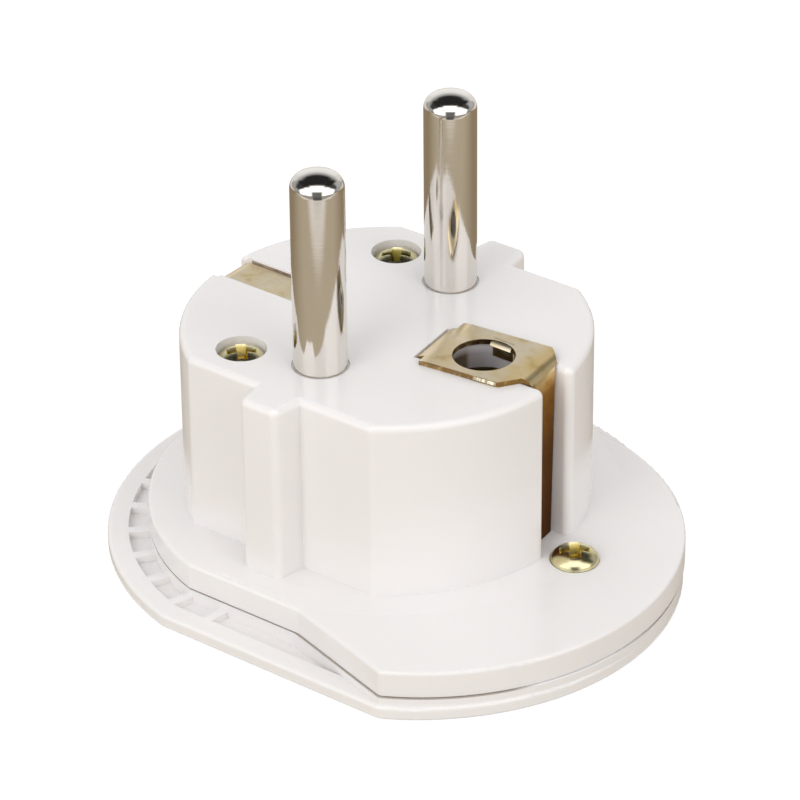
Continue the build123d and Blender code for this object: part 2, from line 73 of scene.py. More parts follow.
# %% Camera
TARGET = Vector((-0.010234, -0.009334, 0.0218))
AZIMUTH = math.radians(-52.31)
ELEVATION = math.radians(30.31)
ROLL = -0.009
DISTANCE = 0.381447
FOCAL_LENGTH = 198.8
SENSOR_WIDTH = 36.0
NEAR_AND_FAR = (0.01, 20.0)


def direction(azimuth, elevation):
    """Unit vector from the adapter towards a place in the studio."""
    flat = math.cos(elevation)
    return Vector((math.sin(azimuth) * flat, -math.cos(azimuth) * flat, math.sin(elevation)))


lens = bpy.data.cameras.new("catalogue_lens")
lens.sensor_width = SENSOR_WIDTH
lens.lens = FOCAL_LENGTH
lens.clip_start, lens.clip_end = NEAR_AND_FAR
camera = bpy.data.objects.new("catalogue_camera", lens)
scene.collection.objects.link(camera)
back = direction(AZIMUTH, ELEVATION)
right = Vector((math.cos(AZIMUTH), math.sin(AZIMUTH), 0))
up = back.cross(right)
right, up = (
    right * math.cos(ROLL) + up * math.sin(ROLL),
    up * math.cos(ROLL) - right * math.sin(ROLL),
)
turn = Matrix((right, up, back)).transposed()
camera.matrix_world = Matrix.Translation(TARGET + back * DISTANCE) @ turn.to_4x4()
scene.camera = camera
scene.view_settings.view_transform = "Standard"
print("camera at", [round(1000 * c) for c in camera.location], "mm")

# %% [markdown]
# Every finish here is a small graph of nodes. The nodes could be placed by hand in the
# editor. Helpers that add a node and set its sockets by name keep each finish short enough
# to read, and make it the same way each time.

# %% Node helpers
def put(tree, socket, value):
    """Links a socket to another one, or sets it to a plain value."""
    if isinstance(value, bpy.types.NodeSocket):
        tree.links.new(value, socket)
    else:
        socket.default_value = value


def add(tree, kind, **sockets):
    """Adds a node and sets or links its input sockets by name, with _ for a space."""
    node = tree.nodes.new(kind)
    for name, value in sockets.items():
        put(tree, node.inputs[name.replace("_", " ")], value)
    return node


def sum_up(tree, operation, first, second):
    """One step of arithmetic on two values."""
    node = tree.nodes.new("ShaderNodeMath")
    node.operation = operation
    for socket, value in zip(node.inputs, (first, second)):
        put(tree, socket, value)
    return node.outputs[0]


print("nodes can be added, linked and summed up")

# %% Patterns on a piece
def ramp(tree, amount, stops):
    """Colour or grey that follows an amount through a few stops of (place, colour)."""
    node = add(tree, "ShaderNodeValToRGB", Fac=amount)
    marks = node.color_ramp.elements
    marks.remove(marks[1])
    marks[0].position = stops[0][0]
    for place, _ in stops[1:]:
        marks.new(place)
    for mark, (_, colour) in zip(marks, stops):
        mark.color = (*colour, 1) if isinstance(colour, tuple) else (colour, colour, colour, 1)
    return node.outputs["Color"]


def grain(tree, scale, detail=2.0, pressed=(1, 1, 1)):
    """Noise over the piece in its own coordinates, pressed flat along an axis if asked."""
    place = add(tree, "ShaderNodeTexCoord").outputs["Object"]
    spread = add(tree, "ShaderNodeMapping", Vector=place, Scale=pressed)
    cloud = add(
        tree, "ShaderNodeTexNoise", Vector=spread.outputs["Vector"], Scale=scale, Detail=detail
    )
    return cloud.outputs["Fac"]


def heights(tree):
    """Height in metres of each point of a piece."""
    place = add(tree, "ShaderNodeTexCoord").outputs["Object"]
    return add(tree, "ShaderNodeSeparateXYZ", Vector=place).outputs["Z"]


print("patterns can follow an amount, noise and height")

# %% Empty and finished materials
def blank(name):
    """Empty material with its output node."""
    material = bpy.data.materials.new(name)
    material.use_nodes = True
    tree = material.node_tree
    tree.nodes.clear()
    return material, tree, tree.nodes.new("ShaderNodeOutputMaterial")


def finish(name, **sockets):
    """Material of one principled shader whose sockets come from a function of its tree."""
    material, tree, output = blank(name)
    made = {key: value(tree) if callable(value) else value for key, value in sockets.items()}
    shader = add(tree, "ShaderNodeBsdfPrincipled", **made)
    tree.links.new(shader.outputs["BSDF"], output.inputs["Surface"])
    return material


print("materials can be made")

# %% [markdown]
# The adapter stands in a bright white sweep. Sky and table are plain white where they are
# seen, and give only a soft, slightly warm light to everything else. Stronger lamps would
# whiten them too, but they would bleach the adapter. The table keeps a faint shadow under
# it, so that it doesn't float.

# %% Sky
SKY_LIGHT = 0.807
WHITE = (1, 1, 1, 1)

world = bpy.data.worlds.new("white_sweep")
world.use_nodes = True
scene.world = world


def seen_directly(tree):
    """One where a surface is seen by the camera, in a reflection or through glass."""
    path = tree.nodes.new("ShaderNodeLightPath").outputs
    seen = sum_up(tree, "MAXIMUM", path["Is Camera Ray"], path["Is Glossy Ray"])
    return sum_up(tree, "MAXIMUM", seen, path["Is Transmission Ray"])


def either_shader(tree, amount, hidden, shown):
    """Mix of two shaders by an amount."""
    mix = add(tree, "ShaderNodeMixShader", Fac=amount)
    tree.links.new(hidden.outputs[0], mix.inputs[1])
    tree.links.new(shown.outputs[0], mix.inputs[2])
    return mix


sky = world.node_tree
sky.nodes.clear()
soft = add(sky, "ShaderNodeBackground", Color=WHITE, Strength=SKY_LIGHT)
plain = add(sky, "ShaderNodeBackground", Color=WHITE, Strength=1.0)
sky_mix = either_shader(sky, seen_directly(sky), soft, plain)
sky.links.new(sky_mix.outputs[0], sky.nodes.new("ShaderNodeOutputWorld").inputs["Surface"])
print("sky light", SKY_LIGHT)

# %% Table
TABLE_HALF = 1.5
TABLE_WARM = (0.572, 0.522, 0.442, 1)
TABLE_GLOW = 0.86
TABLE_SHADOWED = (0.2, 0.2, 0.2, 1)


def stage_piece(name, shape, material):
    """Studio piece that isn't part of the adapter."""
    mesh = bpy.data.meshes.new(name)
    shape.to_mesh(mesh)
    shape.free()
    mesh.materials.append(material)
    piece = bpy.data.objects.new(name, mesh)
    scene.collection.objects.link(piece)
    piece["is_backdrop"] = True
    return piece


paper, tree, output = blank("warm_paper")
bounce = add(tree, "ShaderNodeBsdfDiffuse", Color=TABLE_WARM)
glow = add(tree, "ShaderNodeEmission", Color=WHITE, Strength=TABLE_GLOW)
shade = add(tree, "ShaderNodeBsdfDiffuse", Color=TABLE_SHADOWED)
white = tree.nodes.new("ShaderNodeAddShader")
tree.links.new(glow.outputs[0], white.inputs[0])
tree.links.new(shade.outputs[0], white.inputs[1])
paper_mix = either_shader(tree, seen_directly(tree), bounce, white)
tree.links.new(paper_mix.outputs[0], output.inputs["Surface"])

shape = bmesh.new()
bmesh.ops.create_grid(shape, x_segments=1, y_segments=1, size=TABLE_HALF)
stage_piece("table_top", shape, paper)
print("table", 2 * TABLE_HALF, "m across")

# %% [markdown]
# Two large soft boxes stand left and right of the camera, as in a product studio.
# One lamp at the camera would flatten the walls, and one from above would leave them grey.
# The low pair makes the walls as bright as the top. The metal doesn't show the boxes
# themselves, because what it reflects is made in the next step.

# %% Soft boxes
BOX_SIZE = 0.45
BOX_DISTANCE = 0.8
BOXES = {
    "left_soft_box": {"beside": -40, "above": 32, "power": 2.08},
    "right_soft_box": {"beside": 42, "above": 32, "power": 1.21},
}
for name, box in BOXES.items():
    lamp = bpy.data.lights.new(name, "AREA")
    lamp.size = BOX_SIZE
    lamp.energy = box["power"]
    holder = bpy.data.objects.new(name, lamp)
    scene.collection.objects.link(holder)
    way = direction(AZIMUTH + math.radians(box["beside"]), math.radians(box["above"]))
    holder.location = TARGET + way * BOX_DISTANCE
    holder.rotation_euler = way.to_track_quat("Z", "Y").to_euler()
    holder.visible_glossy = False
    print(name, box["power"], "W")

# %% [markdown]
# Bright metal is mostly a picture of its room. In an all-white room it looks like grey
# plastic. So a room that shows only in reflections stands round the adapter. It has the two
# boxes joined by a bright ceiling, a dim place where the camera stands, a dark strip
# overhead and a pale back wall. A card for each of these would do it too.
# Colours by direction on one dome leave fewer pieces to place.

# %% Directions in the room
TOWARDS = Vector((back.x, back.y, 0)).normalized()
ACROSS = TOWARDS.cross(Vector((0, 0, -1)))
MIX_FIRST, MIX_SECOND, MIX_RESULT = 6, 7, 2


def share_of(tree, value, low, high):
    """Value brought to the range from zero to one."""
    node = add(tree, "ShaderNodeMapRange", Value=value)
    node.inputs["From Min"].default_value = low
    node.inputs["From Max"].default_value = high
    return node.outputs["Result"]


def measure(tree, axis):
    """How far a point of a piece lies along an axis."""
    place = add(tree, "ShaderNodeTexCoord").outputs["Object"]
    along = add(tree, "ShaderNodeVectorMath", Vector=place)
    along.operation = "DOT_PRODUCT"
    along.inputs[1].default_value = axis
    return along.outputs["Value"]


def blend(tree, amount, first, second, way="MIX"):
    """Mix of two colours by an amount, or their product where the way is MULTIPLY."""
    mix = tree.nodes.new("ShaderNodeMix")
    mix.data_type = "RGBA"
    mix.blend_type = way
    put(tree, mix.inputs["Factor"], amount)
    put(tree, mix.inputs[MIX_FIRST], first)
    put(tree, mix.inputs[MIX_SECOND], second)
    return mix.outputs[MIX_RESULT]


print("towards the camera:", [round(c, 3) for c in TOWARDS])

# %% Cards that only reflections show
HALF_TURN = 180


def card_material(name, colour, glow):
    """Card that glows by itself, in colours from a function of its tree."""
    material, tree, output = blank(name)
    light = add(tree, "ShaderNodeEmission", Color=colour(tree), Strength=glow)
    tree.links.new(light.outputs[0], output.inputs["Surface"])
    material.cycles.emission_sampling = "NONE"
    return material


def only_reflected(piece):
    """Hides a card from everything but reflections."""
    piece.visible_camera = False
    piece.visible_diffuse = False
    piece.visible_transmission = False
    piece.visible_volume_scatter = False
    piece.visible_shadow = False


def by_degrees(stops):
    """Stops whose places are given as degrees of a half turn."""
    return [(degrees / HALF_TURN, colour) for degrees, colour in stops]


print("cards can be made")

# %% Reflected room
ROOM_R = 1.2
ROOM_GLOW = 1.6
ROOM_FOOT = -0.001
CAMERA_DIM = 0.1
CEILING_DARK = 0.014
OUTER_DARK = 0.03
MIDDLE_EDGE = [(0.28, 0.0), (0.4, 1.0)]
OUTER_EDGE = [(0.6, 0.0), (0.72, 1.0)]
FAR_EDGE = [(0.91, 0.0), (0.97, 1.0)]


def room_colours(tree):
    """From the camera's side over the top to the back wall, in the middle and at the sides."""
    height = heights(tree)
    over = share_of(tree, sum_up(tree, "ARCTAN2", height, measure(tree, TOWARDS)), 0, math.pi)
    middle = ramp(tree, over, by_degrees([
        (0, CAMERA_DIM), (33, CAMERA_DIM), (44, 1.0), (80, 1.0), (91, CEILING_DARK),
        (132, CEILING_DARK), (142, 0.32), (152, 0.56), (165, 0.6), (180, 0.62),
    ]))
    beside = ramp(tree, over, by_degrees([
        (0, 0.2), (4, 0.24), (11, 1.0), (68, 1.0), (82, CEILING_DARK),
        (126, CEILING_DARK), (140, 0.3), (152, 0.5), (180, 0.5),
    ]))
    outer_left = ramp(tree, over, by_degrees([
        (0, 0.16), (4, 0.2), (11, 1.0), (62, 1.0), (76, OUTER_DARK),
        (118, OUTER_DARK), (134, 0.2), (152, 0.28), (180, 0.2),
    ]))
    outer_right = ramp(tree, over, by_degrees([
        (0, 0.16), (4, 0.2), (11, 1.0), (62, 1.0), (76, OUTER_DARK),
        (104, 0.05), (117, 0.28), (152, 0.3), (180, 0.2),
    ]))
    far = ramp(tree, over, [(0.0, 0.1), (0.6, 0.26), (1.0, 0.2)])
    across = sum_up(tree, "DIVIDE", measure(tree, ACROSS), ROOM_R)
    aside = sum_up(tree, "ABSOLUTE", across, 0)
    outer = blend(tree, sum_up(tree, "GREATER_THAN", across, 0), outer_left, outer_right)
    inner = blend(tree, ramp(tree, aside, MIDDLE_EDGE), middle, beside)
    wider = blend(tree, ramp(tree, aside, OUTER_EDGE), inner, outer)
    return blend(tree, ramp(tree, aside, FAR_EDGE), wider, far)


shape = bmesh.new()
bmesh.ops.create_uvsphere(shape, u_segments=64, v_segments=32, radius=ROOM_R)
lower = [v for v in shape.verts if v.co.z < ROOM_FOOT]
bmesh.ops.delete(shape, geom=lower, context="VERTS")
room_card = card_material("reflected_room", room_colours, ROOM_GLOW)
only_reflected(stage_piece("reflected_room", shape, room_card))
print("room", 2 * ROOM_R, "m across")

# %% Reflected table
SHEET_LIFT = 0.0004
CAMERA_EDGE = [(0.25, 0.0), (0.33, 1.0)]
BEIGE = (0.48, 0.41, 0.305)
BROWN = (0.30, 0.235, 0.155)
PALE = (0.80, 0.75, 0.70)
DUSK = (0.36, 0.32, 0.28)
CLOSE_BY = [
    (-0.14, PALE), (-0.085, BROWN), (-0.03, BROWN),
    (0.035, BEIGE), (0.068, BEIGE), (0.0745, PALE),
]


def by_distance(stops):
    """Stops whose places are given as metres from the adapter towards the camera."""
    return [((metres + ROOM_R) / (2 * ROOM_R), colour) for metres, colour in stops]


def table_colours(tree):
    """Brown behind the adapter, beige round it, a pale strip and then the dim camera."""
    along = measure(tree, TOWARDS)
    across = measure(tree, ACROSS)
    place = share_of(tree, along, -ROOM_R, ROOM_R)
    middle = ramp(tree, place, by_distance(CLOSE_BY + [(0.082, PALE), (0.1, CAMERA_DIM)]))
    beside = ramp(tree, place, by_distance(CLOSE_BY + [(0.11, PALE), (0.16, DUSK)]))
    aside = sum_up(tree, "ABSOLUTE", sum_up(tree, "DIVIDE", across, along), 0)
    return blend(tree, ramp(tree, aside, CAMERA_EDGE), middle, beside)


shape = bmesh.new()
bmesh.ops.create_circle(shape, cap_ends=True, segments=96, radius=ROOM_R)
bmesh.ops.translate(shape, verts=shape.verts, vec=(0, 0, SHEET_LIFT))
table_card = card_material("reflected_table", table_colours, 1.0)
only_reflected(stage_piece("reflected_table", shape, table_card))
print("table seen in the metal")

# %% [markdown]
# The casing is glossy white plastic, moulded and a little uneven. One white would look
# like a drawing. Slow noise shifts the white by a hair, finer noise changes the gloss,
# and a slight bump gives the faint ripple that moulded walls have. A little light goes
# into the plastic and comes out warm, which softens the slots and the edges.
# Shade is painted into the ends of the seam between the two mouldings, into the earth-pin hole
# and at the foot of the wall beside the rear clip. Along its middle the seam has painted light, a
# little paler than the plastic.
# A painted image could hold all this. Places told apart by their coordinates need none.

# %% Tools for shading
def tint(tree, amount, colour, shade):
    """Colour that is multiplied by a shade as an amount goes from zero to one."""
    return blend(tree, amount, colour, shade, "MULTIPLY")


def from_axis(tree, middle):
    """Distance of a point of a piece from an upright axis."""
    place = add(tree, "ShaderNodeTexCoord").outputs["Object"]
    level = add(tree, "ShaderNodeVectorMath", Vector=place)
    level.operation = "MULTIPLY"
    level.inputs[1].default_value = (1, 1, 0)
    away = add(tree, "ShaderNodeVectorMath", Vector=level.outputs[0])
    away.operation = "DISTANCE"
    away.inputs[1].default_value = (middle.x, middle.y, 0)
    return away.outputs["Value"]


def between(tree, value, low, high):
    """One where a value lies between two limits."""
    above = sum_up(tree, "GREATER_THAN", value, low)
    return sum_up(tree, "MULTIPLY", above, sum_up(tree, "LESS_THAN", value, high))


print("shades can be set by place")

# %% Places with painted shade
EARTH_HOLE = Vector((-0.0003, -0.011, 0))
EARTH_HOLE_R = 0.0034
PLUG_FACE = 0.0218
HOLE_SHADE_DEPTH = 0.0012
SEAM_LEVELS = (0.00194, 0.002106)
SEAM_WAY = (-0.021, 0.009)
RECESS_SIDE = (0.0018, 0.0023)
RECESS_LENGTH = (0.008, 0.0171)
RECESS_FOOT = (0.0212, 0.0216)


def inside_hole(tree):
    """From zero at the plug's face to one deeper on the wall of the earth-pin hole."""
    near = sum_up(tree, "LESS_THAN", from_axis(tree, EARTH_HOLE), EARTH_HOLE_R)
    depth = share_of(tree, heights(tree), PLUG_FACE, PLUG_FACE - HOLE_SHADE_DEPTH)
    return sum_up(tree, "MULTIPLY", near, depth)


def inside_seam(tree):
    """One between the levels of the two faces that meet in the seam."""
    return between(tree, heights(tree), *SEAM_LEVELS)


def inside_recess(tree):
    """One on the foot of the recess wall beside the rear clip."""
    side = between(tree, measure(tree, (1, 0, 0)), *RECESS_SIDE)
    along = between(tree, measure(tree, (0, 1, 0)), *RECESS_LENGTH)
    foot = between(tree, heights(tree), *RECESS_FOOT)
    return sum_up(tree, "MULTIPLY", sum_up(tree, "MULTIPLY", side, along), foot)


print("hole at", [round(1000 * c, 1) for c in EARTH_HOLE[:2]], "mm")

# %% Plastic colours
def moulded_white(tree):
    """Clean plastic, clouded by a hair."""
    cloud = grain(tree, scale=55, detail=3)
    return ramp(tree, cloud, [(0.35, (0.827, 0.802, 0.792)), (0.65, (0.850, 0.825, 0.817))])


def white_with_painted_shade(tree):
    """The same plastic with painted shade in the hole, the seam and the recess, and painted light
    along the seam's middle.
    """
    middle = EARTH_HOLE.dot(ACROSS)
    across = share_of(tree, measure(tree, ACROSS), middle - EARTH_HOLE_R, middle + EARTH_HOLE_R)
    # painted shade inside the earth-pin hole: dark brown on one side of its wall, pale grey on
    # the other
    hole_shade = ramp(tree, across, [
        (0.0, (0.10, 0.07, 0.04)), (0.27, (0.16, 0.12, 0.08)), (0.33, (0.44, 0.41, 0.41)),
        (0.6, (0.56, 0.54, 0.56)), (0.9, (0.85, 0.84, 0.84)),
    ])
    along = share_of(tree, measure(tree, (1, 0, 0)), *SEAM_WAY)
    # painted shade at both ends of the seam, and painted light where the stops rise above one
    # along its middle
    seam_shade_and_light = ramp(tree, along, [
        (0.14, (0.7, 0.66, 0.61)), (0.21, (1.15, 1.17, 1.18)), (0.45, (1.1, 1.11, 1.12)),
        (0.75, (0.66, 0.61, 0.57)),
    ])
    # painted shadow at the foot of the recess wall beside the rear clip, broken up by fine
    # speckle
    specks = grain(tree, scale=900)
    recess_shadow = ramp(tree, specks, [(0.35, (0.2, 0.15, 0.1)), (0.65, (0.5, 0.42, 0.34))])
    hole = tint(tree, inside_hole(tree), moulded_white(tree), hole_shade)
    seam = tint(tree, inside_seam(tree), hole, seam_shade_and_light)
    return tint(tree, inside_recess(tree), seam, recess_shadow)


print("white of the plastic, clean and dusty")

# %% White plastic
def moulded_gloss(tree):
    """Roughness of a polished mould that has worn unevenly."""
    return ramp(tree, grain(tree, scale=420, detail=4), [(0.3, 0.19), (0.7, 0.262)])


def moulded_ripple(tree):
    """Slow ripple of a moulded wall."""
    skin = grain(tree, scale=230, detail=1)
    bump = add(tree, "ShaderNodeBump", Height=skin, Strength=0.03, Distance=0.0006)
    return bump.outputs["Normal"]


white_plastic = finish(
    "moulded_white_plastic",
    Base_Color=white_with_painted_shade,
    Roughness=moulded_gloss,
    Normal=moulded_ripple,
    IOR=1.5,
    Subsurface_Weight=0.2,
    Subsurface_Radius=(1.0, 0.8, 0.6),
    Subsurface_Scale=0.001,
)
print("made", white_plastic.name)

# %% [markdown]
# The pins are turned brass with bright nickel on it. Nickel is a little yellow, and fine
# turning marks run round each pin. They could be cut as tiny rings. Noise that is pressed
# flat into layers gives the same marks without any faces.

# %% Nickel plate
def nickel_tone(tree):
    """Warm grey of nickel, slightly clouded."""
    cloud = grain(tree, scale=140, detail=3)
    return ramp(tree, cloud, [(0.3, (0.80, 0.765, 0.715)), (0.7, (0.84, 0.81, 0.765))])


def turned_gloss(tree):
    """Roughness that changes in rings up the pin."""
    rings = grain(tree, scale=300, detail=5, pressed=(1, 1, 14))
    return ramp(tree, rings, [(0.3, 0.075), (0.75, 0.13)])


def turned_marks(tree):
    """Shallow rings left by the lathe."""
    rings = grain(tree, scale=500, detail=4, pressed=(1, 1, 10))
    bump = add(tree, "ShaderNodeBump", Height=rings, Strength=0.02, Distance=0.0001)
    return bump.outputs["Normal"]


nickel = finish(
    "bright_nickel",
    Base_Color=nickel_tone,
    Roughness=turned_gloss,
    Normal=turned_marks,
    Metallic=1.0,
)
print("made", nickel.name)

# %% [markdown]
# The clips are cut and folded from rolled brass. The faces that were handled are pale gold with
# darker blots. Over the fold the gold is painted deeper, to warm the pale reflection that the
# fold shows there. Down in the slots the brass is painted dark brown where shade falls, so the
# colour follows the height of a point. The cut edges of the sheet are darker than its faces, and
# the normal tells the two apart. Stains could be painted by hand, but these follow the sheet
# wherever it is folded.

# %% Brass colours
SLOT_TOP = 0.0213
SLOT_BOTTOM = 0.005
EDGE_LOW = 0.02178
EDGE_STEEP = 0.3
FOLD = (0.0138, 0.0152)
UNSHADED = (1.0, 1.0, 1.0)


def rolled_gold(tree):
    """Pale gold with darker blots."""
    cloud = grain(tree, scale=420, detail=5)
    return ramp(tree, cloud, [
        (0.3, (0.66, 0.52, 0.27)), (0.42, (0.84, 0.72, 0.49)), (0.6, (0.87, 0.78, 0.61)),
        (0.72, (0.81, 0.67, 0.40)),
    ])


def slot_shade(tree):
    """Painted shade, from dark brown at the bottom of a slot to none at the fold."""
    # painted shade: dark brown at the bottom of a slot, gone at its top
    level = share_of(tree, heights(tree), SLOT_BOTTOM, SLOT_TOP)
    return ramp(tree, level, [
        (0.0, (0.115, 0.045, 0.022)), (0.57, (0.22, 0.118, 0.056)), (0.915, (0.50, 0.33, 0.135)),
        (0.97, (0.95, 0.85, 0.65)), (1.0, UNSHADED),
    ])


def cut_edge(tree):
    """One on the upright cut edges of the plates on the plug's face."""
    normal = tree.nodes.new("ShaderNodeNewGeometry").outputs["Normal"]
    upright = add(tree, "ShaderNodeSeparateXYZ", Vector=normal).outputs["Z"]
    steep = sum_up(tree, "LESS_THAN", sum_up(tree, "ABSOLUTE", upright, 0), EDGE_STEEP)
    high = sum_up(tree, "GREATER_THAN", heights(tree), EDGE_LOW)
    return sum_up(tree, "MULTIPLY", steep, high)


def slot_shaded_gold(tree):
    """Gold with painted shade in a slot, painted deeper over the fold, and darker on the cut
    edges.
    """
    brown = tint(tree, 1.0, rolled_gold(tree), slot_shade(tree))
    fold = share_of(tree, measure(tree, (0, -1, 0)), *FOLD)
    # the fold is painted a deeper gold to warm the pale reflection it shows at a grazing angle
    fold_tint = ramp(tree, fold, [(0.0, UNSHADED), (1.0, (0.99, 0.89, 0.66))])
    golden = tint(tree, 1.0, brown, fold_tint)
    ragged = grain(tree, scale=1500, detail=2)
    nicks = ramp(tree, ragged, [(0.5, (0.34, 0.25, 0.15)), (0.75, (0.8, 0.68, 0.45))])
    return tint(tree, cut_edge(tree), golden, nicks)


# the brass is painted darker in shade between these heights
print("brass browns from", round(1000 * SLOT_TOP, 1), "to", round(1000 * SLOT_BOTTOM, 1), "mm")

# %% Rolled brass
GRAZING_TINT = (0.8, 0.72, 0.62, 1)


def rolled_gloss(tree):
    """Roughness of sheet that has been handled."""
    return ramp(tree, grain(tree, scale=700, detail=4), [(0.3, 0.285), (0.7, 0.35)])


def rolled_marks(tree):
    """Fine lines left by the rolls."""
    lines = grain(tree, scale=900, detail=4, pressed=(6, 1, 1))
    bump = add(tree, "ShaderNodeBump", Height=lines, Strength=0.06, Distance=0.0001)
    return bump.outputs["Normal"]


def brass_finish(name, colour):
    """Rolled brass whose colour is a function of its tree."""
    return finish(
        name,
        Base_Color=colour,
        Roughness=rolled_gloss,
        Normal=rolled_marks,
        Metallic=1.0,
        Specular_Tint=GRAZING_TINT,
    )


clip_brass = brass_finish("slot_shaded_clip_brass", slot_shaded_gold)
spring_brass = brass_finish("spring_brass", rolled_gold)
print("made", clip_brass.name, "and", spring_brass.name)

# %% [markdown]
# The screws are steel with yellow zinc plating. The passivated layer shimmers from gold to green,
# so noise mixes those two. Shade is painted olive brown into the pressed cross. The cross could
# have a material of its own, with a hard border. How far a point lies under the dome of its head
# lets the painted shade come in softly.

# %% Yellow zinc
CROSS_EDGE = 0.0015
CROSS_SHADE_DEPTH = (0.0001, 0.0007)


def zinc_shimmer(tree):
    """Gold and green clouds of the passivated layer."""
    cloud = grain(tree, scale=700, detail=3)
    return ramp(tree, cloud, [
        (0.3, (0.62, 0.54, 0.26)), (0.5, (0.79, 0.72, 0.46)), (0.7, (0.68, 0.66, 0.38)),
    ])


def zinc_gloss(tree):
    """Roughness of bright plating on a pressed head."""
    return ramp(tree, grain(tree, scale=1500, detail=3), [(0.3, 0.2), (0.7, 0.265)])


def zinc_finish(name, colour):
    """Zinc plate whose colour is a function of its tree."""
    return finish(name, Base_Color=colour, Roughness=zinc_gloss, Metallic=1.0)


def shade_in_cross(middle, radius, low, top, cross_shade):
    """Colour function of a screw whose dome has this middle, radius and levels, with shade
    painted into its cross.
    """
    bend = (top - low) / 2 / radius**2

    def colour(tree):
        away = from_axis(tree, middle)
        bow = sum_up(tree, "MULTIPLY", sum_up(tree, "POWER", away, 2), bend)
        under = sum_up(tree, "SUBTRACT", sum_up(tree, "SUBTRACT", top, bow), heights(tree))
        near = sum_up(tree, "LESS_THAN", away, CROSS_EDGE)
        depth = share_of(tree, under, *CROSS_SHADE_DEPTH)
        # painted shade in the cross, deeper as a point lies further under the dome
        shade = ramp(tree, depth, [(0.0, UNSHADED), (0.4, cross_shade)])
        return tint(tree, near, zinc_shimmer(tree), shade)

    return colour


yellow_zinc = zinc_finish("yellow_zinc", zinc_shimmer)
print("made", yellow_zinc.name)

# %% [markdown]
# Each solid keeps its shape and takes the finish of its own piece. A material could be set on
# each solid in turn. A list by finish shows at a glance which pieces are made of what.

# %% Finishes for the solids
FINISHES = {
    white_plastic: ["plug_body", "socket_cover"],
    nickel: ["left_pin", "right_pin"],
    clip_brass: ["earth_clip_front", "earth_clip_rear"],
    spring_brass: [
        "left_contact", "right_contact", "earth_contact", "earth_rivet_front", "earth_rivet_rear",
    ],
    yellow_zinc: ["left_case_screw", "right_case_screw", "ear_screw"],
}
for material, names in FINISHES.items():
    for name in names:
        nodes[name].material_slots[0].material = material
    print(material.name, "on", len(names), "pieces")

# %% [markdown]
# Three cross-head screws hold the adapter together. Their heads are pressed, so they are
# rounder than a turned head and the cross has sloping walls. A boolean could cut the cross.
# Here a half outline is spun, planes mark the cross on the dome, and the faces between them
# are pushed in and drawn together. That keeps the mesh clean enough to round its edges.

# %% Tools for the small pieces
SPIN_STEPS = 64
SHARP = math.radians(40)


def spun(outline):
    """Closed solid from a half outline of (radius, height) points, spun about Z."""
    shape = bmesh.new()
    verts = [shape.verts.new((r, 0, z)) for r, z in outline]
    edges = [shape.edges.new(pair) for pair in zip(verts, verts[1:])]
    bmesh.ops.spin(
        shape, geom=verts + edges, cent=(0, 0, 0), axis=(0, 0, 1),
        angle=2 * math.pi, steps=SPIN_STEPS, use_merge=True,
    )
    bmesh.ops.remove_doubles(shape, verts=shape.verts, dist=1e-6)
    bmesh.ops.recalc_face_normals(shape, faces=shape.faces)
    return shape


def add_piece(name, shape, material):
    """Piece of the adapter that rides on its one body."""
    mesh = bpy.data.meshes.new(name)
    for face in shape.faces:
        face.smooth = True
    shape.to_mesh(mesh)
    shape.free()
    mesh.set_sharp_from_angle(angle=SHARP)
    mesh.materials.append(material)
    piece = bpy.data.objects.new(name, mesh)
    scene.collection.objects.link(piece)
    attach(piece, "root")
    print(name, len(mesh.polygons), "faces")
    return piece


print("sharp edges from", round(math.degrees(SHARP)), "degrees")

# %% Cross recess
CROSS_REACH = 0.00135
CROSS_HALF = 0.00046
CROSS_DEPTH = 0.0012
CROSS_TAPER = 0.6
CROSS_FLAT = 0.2
CROSS_ROUND = 0.00009


def press_cross(shape, low, top, turn):
    """Presses a tapered cross into the part of a dome above a level."""
    axes = [Vector((math.cos(a), math.sin(a), 0)) for a in (turn, turn + math.pi / 2)]
    for axis in axes:
        for place in (-CROSS_REACH, -CROSS_HALF, CROSS_HALF, CROSS_REACH):
            dome = [f for f in shape.faces if f.calc_center_median().z > low]
            rims = {e for f in dome for e in f.edges}
            dots = {v for f in dome for v in f.verts}
            bmesh.ops.bisect_plane(
                shape, geom=dome + list(rims) + list(dots), plane_co=axis * place, plane_no=axis
            )

    def within(face):
        middle = face.calc_center_median()
        u, v = (abs(middle.dot(axis)) for axis in axes)
        return middle.z > low and min(u, v) < CROSS_HALF and max(u, v) < CROSS_REACH

    floor = [f for f in shape.faces if within(f)]
    inside = set(floor)
    borders = {e for f in floor for e in f.edges}
    mouth = [e for e in borders if sum(f in inside for f in e.link_faces) == 1]
    pushed = bmesh.ops.extrude_face_region(shape, geom=floor + list(borders))["geom"]
    bottom = [v for v in pushed if isinstance(v, bmesh.types.BMVert)]
    about_top = Matrix.Translation((0, 0, -top))
    squeeze = (CROSS_TAPER, CROSS_TAPER, CROSS_FLAT)
    bmesh.ops.scale(shape, vec=squeeze, space=about_top, verts=bottom)
    bmesh.ops.translate(shape, vec=(0, 0, -CROSS_DEPTH), verts=bottom)
    mouth = [e for e in mouth if e.is_valid]
    bmesh.ops.bevel(
        shape, geom=mouth, offset=CROSS_ROUND, offset_type="OFFSET", affect="EDGES",
        segments=2, profile=0.5, material=-1, clamp_overlap=True,
    )


print("cross", round(2000 * CROSS_REACH, 1), "mm across")

# %% Screws
HEAD_STEPS = 12
SHANK_R = 0.0013
SHANK_POINT = 0.0006
DOME_MARGIN = 0.0002
EAR_HEAD_LOW = 0.00456
EAR_HEAD_TOP = 0.0058
EAR_SINK = 0.0009
CASE_SEAT = 0.02045
CASE_RIM = 0.0003
CASE_HEAD_TOP = 0.02175


def dome_outline(radius, low, top):
    """Half outline of a rounded head, from its middle to its rim."""
    turns = [math.pi / 2 * (1 - i / HEAD_STEPS) for i in range(HEAD_STEPS + 1)]
    return [(radius * math.cos(t), low + (top - low) * math.sin(t)) for t in turns]


